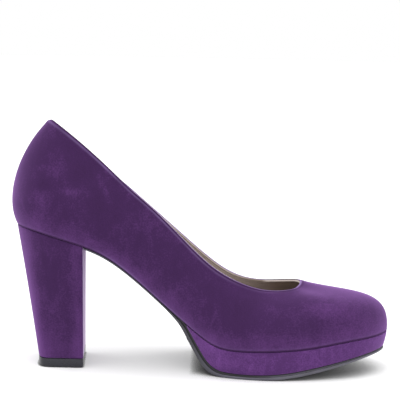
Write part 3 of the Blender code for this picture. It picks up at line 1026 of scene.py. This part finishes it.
class PUMP_OT_upper(bpy.types.Operator):
    """Last the suede over the wall, turned in at the topline and under at the feather line"""

    bl_idname = "pump.upper"
    bl_label = "Suede upper"

    def execute(self, context):
        sizes, colours = context.scene.pump_sizes, context.scene.pump_colours
        wall = SuedeWall(sizes)
        wall.emboss()
        upper = add_sheet(
            wall.grid, crease=wall.crease(), rub=wall.rub(), mark=wall.mark(), flat=wall.flat()
        )
        modify(upper, "SOLIDIFY", thickness=sizes.suede, offset=-1, use_even_offset=True)
        modify(upper, "BEVEL", width=CUT_ROUND, segments=3, angle_limit=CUT_FROM)
        material = suede_leather("napped suede", colours, colours.pale_wear_and_sheen_tint, stroke=(1, 1, 0.5))
        finish_piece(upper, "upper_suede", material, "upper_suede", "upper")
        return {"FINISHED"}


class PUMP_OT_lining(bpy.types.Operator):
    """Line the wall with leather that comes up to the turned edge"""

    bl_idname = "pump.lining"
    bl_label = "Lining"

    def execute(self, context):
        sizes = context.scene.pump_sizes
        last = Last(even_around(WALL_AROUND))
        shares = np.concatenate([
            np.linspace(0, LINING_TOP_ROWS[0], LINING_ROWS), LINING_TOP_ROWS[1:],
        ])
        top_x, top_y = last.cage[3][:, 0], last.cage[3][:, 1]
        outer = fade(top_y, *OUTER_SIDE)
        # The lip is low on the outer side, and at the front, which is drawn tight
        lip = fade(top_x, *LIP_RISES)
        lip *= 1 - outer * fade(top_x, *OUTER_LIP_LOW)
        lip *= 1 - fade(top_x, *LIP_TIGHTENS)
        lip = (sizes.lining_lip + sizes.lining_drop) * lip - sizes.lining_drop
        rise = LINING_FOOT + shares[:, None] * (last.girth + lip - LINING_FOOT)
        wall = last.wall(np.minimum(rise, last.girth))
        upwards = last.cage[3] - last.cage[2]
        upwards /= np.linalg.norm(upwards, axis=1, keepdims=True)
        wall += upwards * np.maximum(rise - last.girth, 0)[..., None]
        wall -= surface_normals(wall) * (sizes.suede + LINING_GAP)
        # Its top edge is pale, apart from the outer rear, which gets painted shade; below it the
        # darker vamp tone is partly painted shade deep in the shoe
        edge = fade(last.girth + lip - rise, *LIP_EDGE)
        shaded = outer * fade(top_x, *OUTER_LIP_DARK)
        pale = edge * (1 - shaded)
        vamp = LINING_DARK * (1 - pale) + OUTER_LIP_SHADE * edge * shaded
        vamp += fade(wall[..., 0], *VAMP_LINING) * (1 - LIP_PALE * pale)
        lining = add_sheet(wall, vamp=vamp)
        modify(lining, "SOLIDIFY", thickness=sizes.lining, offset=-1, use_even_offset=True)
        modify(lining, "BEVEL", width=CUT_ROUND, segments=2, angle_limit=CUT_FROM)
        material = lining_leather("lining leather", context.scene.pump_colours)
        finish_piece(lining, "upper_lining", material, "sock_lining", "upper")
        return {"FINISHED"}


class PUMP_OT_sock(bpy.types.Operator):
    """Lay the covered insole between the lined walls"""

    bl_idname = "pump.sock"
    bl_label = "Insole and sock"

    def execute(self, context):
        sizes = context.scene.pump_sizes
        last = Last(even_around(PLAN_SAMPLES // 4))
        rows = np.array(SOCK_WALL)[:, None] * MM
        wall = last.wall(np.tile(rows, len(last.girth)))
        room = wall - surface_normals(wall) * (sizes.suede + sizes.lining + SOCK_ROOM)
        loop = room[1][:, :2]

        def place(ring, along, across):
            outline = Outline(ring.inset * MM, loop)
            x = rounded_steps(outline.back, outline.front, along)
            cup = SOCK_CUP * (2 * across - 1)**4 * ring.height
            z = lifted(x, SOCK_BOTTOM + (SOCK_TOP - SOCK_BOTTOM) * ring.height) + cup
            return x, outline.across(x, across), z

        sock = add_block(SOCK_STEPS, SOCK_EDGE, place)
        material = lining_leather("sock leather", context.scene.pump_colours)
        finish_piece(sock, "insole_sock", material, "sock_lining", "insole")
        return {"FINISHED"}


class PUMP_OT_platform(bpy.types.Operator):
    """Wrap the platform in suede between the upper and the outsole"""

    bl_idname = "pump.platform"
    bl_label = "Covered platform"

    def execute(self, context):

        def place(ring, along, across):
            outline = Outline(PLATFORM_TAPER * (1 - ring.height) + ring.inset * MM)
            x = rounded_steps(PLATFORM_TIP, outline.front, along)
            bottom, top = platform_bottom(x), feather(x) - SEAM_GAP
            return x, outline.across(x, across), bottom + (top - bottom) * ring.height

        def brushed(along, height):
            """Paler towards the rear."""
            return fade(along, *PLATFORM_REAR)

        platform = add_block(PLATFORM_STEPS, PLATFORM_EDGE, place, mark=brushed)
        colours = context.scene.pump_colours
        material = suede_leather(
            "platform suede", colours, colours.pale_wear_and_sheen_tint, stroke=(1, 1, 0.6), brightness=1.8
        )
        finish_piece(platform, "platform_cover", material, "platform_suede", "platform")
        return {"FINISHED"}


class PUMP_OT_outsole(bpy.types.Operator):
    """Mould the outsole from the heel breast to the toe, ribbed under the ball"""

    bl_idname = "pump.outsole"
    bl_label = "Outsole"

    def execute(self, context):
        sizes = context.scene.pump_sizes
        steps = WAIST_STEPS + TREAD_STEPS
        rear = HEEL_BREAST + SEAM_GAP

        def place(ring, along, across):
            waist = Outline(WAIST_INSET + ring.inset * MM)
            tread = Outline(PLATFORM_TAPER + ring.inset * MM)
            step = np.rint(along * steps) - WAIST_STEPS
            share = np.clip(step / WAIST_STEPS + 1, 0, 1)
            waist_x = rear + (PLATFORM_TIP - rear) * share
            tread_x = rounded_steps(PLATFORM_TIP, tread.front, np.clip(step / TREAD_STEPS, 0, 1))
            x = np.where(step > 0, tread_x, waist_x)
            wide, narrow = tread.across(x, across), waist.across(x, across)
            y = np.where(step > 0, wide, narrow + (wide - narrow) * share**WAIST_FLARE)
            x = np.where(step > 0, x, x - y * math.tan(HEEL_TURN) * (1 - share))
            # Just behind the platform the sole leaves the underside and dips below its tip
            dip = platform_bottom(PLATFORM_TIP) + PLATFORM_TIP - x
            waist_top = np.minimum(lifted(x, -SEAM_GAP), dip)
            tread_top = platform_bottom(np.maximum(x, PLATFORM_TIP)) - SEAM_GAP
            top = np.where(step > 0, tread_top, waist_top)
            bottom = np.maximum(top - sole_thickness(x), 0)
            z = bottom + (top - bottom) * ring.height
            if ring.height == 0:
                panel = fade(np.abs(across - 0.5), *SOLE_PANEL_SIDE)
                panel *= fade(x, *SOLE_PANEL_REAR)
                panel *= fade(tread.front - x, *SOLE_PANEL_FRONT)
                ribs = x + RIB_LEAN * np.abs(y)
                z += panel * grooves(ribs, sizes.tread_pitch, sizes.tread_depth)
            return x, y, z

        def groove(along, height):
            """Painted shade in the groove along the edge, higher up at the toe, and on the rear
            slope; the toe a little darker all over.
            """
            toe = fade(along, *SOLE_TOE)
            slope = fade(along, *SLOPE_FRONT) * fade(along, *SLOPE_REAR)
            start, end = (share + SOLE_TOE_GROOVE * toe for share in SOLE_GROOVE)
            dark = fade(height, start, end)
            return np.maximum(dark, slope + SOLE_TOE_DARK * toe)

        outsole = add_block((steps, SOLE_ACROSS), SOLE_EDGE, place, groove=groove)
        material = moulded_rubber("sole rubber", context.scene.pump_colours.sole, roughness=0.5)
        finish_piece(outsole, "outsole_tread", material, "sole_rubber", "outsole")
        return {"FINISHED"}


def breast_corner(x, breast, corner):
    """How far the rounded upright edges of the breast draw in at x."""
    turn = np.clip((x - breast + corner) / corner, 0, 1)
    return corner * (1 - np.sqrt(1 - turn**2))


def heel_plan(along, across, inset, corner):
    """Heel seat in plan, from its round back to its flat breast with rounded upright edges."""
    outline = Outline(inset)
    breast = HEEL_BREAST - inset
    x = rounded_steps(outline.back, breast, along)
    y = outline.across(x, across)
    y -= (2 * across - 1) * breast_corner(x, breast, corner)
    return x - y * math.tan(HEEL_TURN) * (x - outline.back) / (breast - outline.back), y


def heel_foot(along, across, inset, corner):
    """The heel's foot in plan: narrower and squarer at its round back."""
    back, breast = HEEL_FOOT_BACK + inset, HEEL_FOOT_BREAST - inset
    x = rounded_steps(back, breast, along)
    turn = np.clip((x - back) / HEEL_FOOT_ROUND, 0, 1)
    full = (1 - (1 - turn)**HEEL_FOOT_SQUARE)**(1 / HEEL_FOOT_SQUARE)
    half = (HEEL_FOOT_WIDTH / 2 - inset) * full - breast_corner(x, breast, corner)
    y = (2 * across - 1) * half
    return x - y * math.tan(HEEL_TURN) * (x - back) / (breast - back), y


class PUMP_OT_heel(bpy.types.Operator):
    """Cover the block heel in suede, narrowing to its foot"""

    bl_idname = "pump.heel"
    bl_label = "Covered heel"

    def execute(self, context):
        corner = context.scene.pump_sizes.breast_round

        def place(ring, along, across):
            seat_x, seat_y = heel_plan(along, across, ring.inset * MM, corner)
            foot_x, foot_y = heel_foot(along, across, ring.inset * MM, corner)
            hollow = HEEL_HOLLOW * math.sin(math.pi * ring.height)
            x = foot_x + (seat_x - foot_x) * ring.height + hollow * (1 - along)
            y = foot_y + (seat_y - foot_y) * ring.height - hollow * (2 * across - 1) * along
            base = TOP_PIECE_HEIGHT + SEAM_GAP
            return x, y, base + (feather(seat_x) - SEAM_GAP - base) * ring.height

        def fading_highlight(along, height):
            """Painted sheen of the breast, most at its foot."""
            on_breast = along > 1 - 0.5 / HEEL_STEPS[0]
            return on_breast * (BREAST_SHEEN - BREAST_SHEEN_LOST * height)

        def brushed(along, height):
            """Painted highlight at the back and the foot, where light falls, and paler towards the
            breast.
            """
            back = (HEEL_BACK_HIGHLIGHT - HEEL_BACK_HIGHLIGHT_LOST * height) * fade(along, *HEEL_BACK)
            return back + fade(height, *HEEL_LOW) + fade(along, *HEEL_FRONT)

        def weaker_sheen(along, height):
            """Where the painted sheen is weaker: at the back."""
            return fade(along, *HEEL_BACK_WEAKER_SHEEN)

        heel = add_block(HEEL_STEPS, HEEL_EDGE, place, rub=fading_highlight, mark=brushed, flat=weaker_sheen)
        colours = context.scene.pump_colours
        material = suede_leather(
            "heel suede", colours, colours.breast, stroke=(1, 1, 0.3), grazing=4
        )
        finish_piece(heel, "heel_cover", material, "heel_suede", "heel")
        return {"FINISHED"}


class PUMP_OT_lift(bpy.types.Operator):
    """Mould the rubber top piece under the heel's foot"""

    bl_idname = "pump.lift"
    bl_label = "Heel top piece"

    def execute(self, context):
        sizes = context.scene.pump_sizes

        def place(ring, along, across):
            x, y = heel_foot(along, across, ring.inset * MM, sizes.breast_round)
            z = np.full(len(x), TOP_PIECE_HEIGHT * ring.height)
            if ring.height == 0:
                panel = fade(np.abs(across - 0.5), *LIFT_PANEL_SIDE)
                panel *= fade(along, *LIFT_PANEL_BACK) * fade(along, *LIFT_PANEL_FRONT)
                z += panel * grooves(x, sizes.tread_pitch, sizes.tread_depth)
            return x, y, z

        lift = add_block(LIFT_STEPS, LIFT_EDGE, place)
        material = moulded_rubber("lift rubber", context.scene.pump_colours.lift, roughness=0.25)
        finish_piece(lift, "heel_lift", material, "lift_rubber", "heel_top_piece")
        return {"FINISHED"}


class PUMP_OT_stage(bpy.types.Operator):
    """Set the pale floor, the soft lights and the photograph's camera"""

    bl_idname = "pump.stage"
    bl_label = "Stage"

    def execute(self, context):
        scene = context.scene
        bpy.ops.object.select_all(action="DESELECT")
        bpy.ops.mesh.primitive_circle_add(
            vertices=FLOOR_SIDES,
            radius=FLOOR_RADIUS,
            fill_type="NGON",
            location=(0, 0, CAD_BOX[0][2]),
        )
        floor = context.object
        floor.name = "floor"
        material = studio_paper("matt studio paper", scene.pump_colours.floor)
        floor.data.materials.append(material)
        for lamp in LAMPS:
            turn = Vector(lamp.place).to_track_quat("Z", "Y").to_euler()
            bpy.ops.object.light_add(type="SUN", location=lamp.place, rotation=turn)
            light = context.object
            light.name = lamp.name
            light.data.angle = math.radians(lamp.spread)
            light.data.energy = lamp.power
        scene.world = bpy.data.worlds.new("white surround")
        scene.world.use_nodes = True
        scene.world.node_tree.nodes["Background"].inputs["Color"].default_value = (1, 1, 1, 1)
        scene.view_settings.view_transform = "Standard"
        self.add_camera(scene)
        return {"FINISHED"}

    def add_camera(self, scene):
        level = math.cos(CAMERA_ELEVATION)
        back = Vector((
            math.sin(CAMERA_AZIMUTH) * level,
            -math.cos(CAMERA_AZIMUTH) * level,
            math.sin(CAMERA_ELEVATION),
        ))
        right = Vector((math.cos(CAMERA_AZIMUTH), math.sin(CAMERA_AZIMUTH), 0))
        turn = Matrix((right, back.cross(right), back)).transposed()
        turn = turn @ Matrix.Rotation(CAMERA_ROLL, 3, "Z")
        bpy.ops.object.camera_add()
        camera = bpy.context.object
        camera.data.sensor_width = CAMERA_SENSOR
        camera.data.lens = CAMERA_LENS
        place = Matrix.Translation(Vector(CAMERA_AIM) + back * CAMERA_DISTANCE)
        camera.matrix_world = place @ turn.to_4x4()
        scene.camera = camera


PIECES = (
    PUMP_OT_upper,
    PUMP_OT_lining,
    PUMP_OT_sock,
    PUMP_OT_platform,
    PUMP_OT_outsole,
    PUMP_OT_heel,
    PUMP_OT_lift,
    PUMP_OT_stage,
)


class PUMP_PT_pieces(bpy.types.Panel):
    """Lists the shoe's pieces, sizes and colours"""

    bl_idname = "PUMP_PT_pieces"
    bl_label = "Suede platform pump"
    bl_space_type = "VIEW_3D"
    bl_region_type = "UI"
    bl_category = "Pump"

    def draw(self, context):
        for group in (context.scene.pump_sizes, context.scene.pump_colours):
            column = self.layout.column()
            for name in group.__annotations__:
                column.prop(group, name)
        for piece in PIECES:
            self.layout.operator(piece.bl_idname)


CLASSES = (PumpSizes, PumpColours, *PIECES, PUMP_PT_pieces)


def register():
    for item in CLASSES:
        bpy.utils.register_class(item)
    bpy.types.Scene.pump_sizes = PointerProperty(type=PumpSizes)
    bpy.types.Scene.pump_colours = PointerProperty(type=PumpColours)


def unregister():
    del bpy.types.Scene.pump_colours
    del bpy.types.Scene.pump_sizes
    for item in reversed(CLASSES):
        bpy.utils.unregister_class(item)


def main():
    register()
    for piece in PIECES:
        group, name = piece.bl_idname.split(".")
        getattr(getattr(bpy.ops, group), name)()


if __name__ == "__main__":
    main()
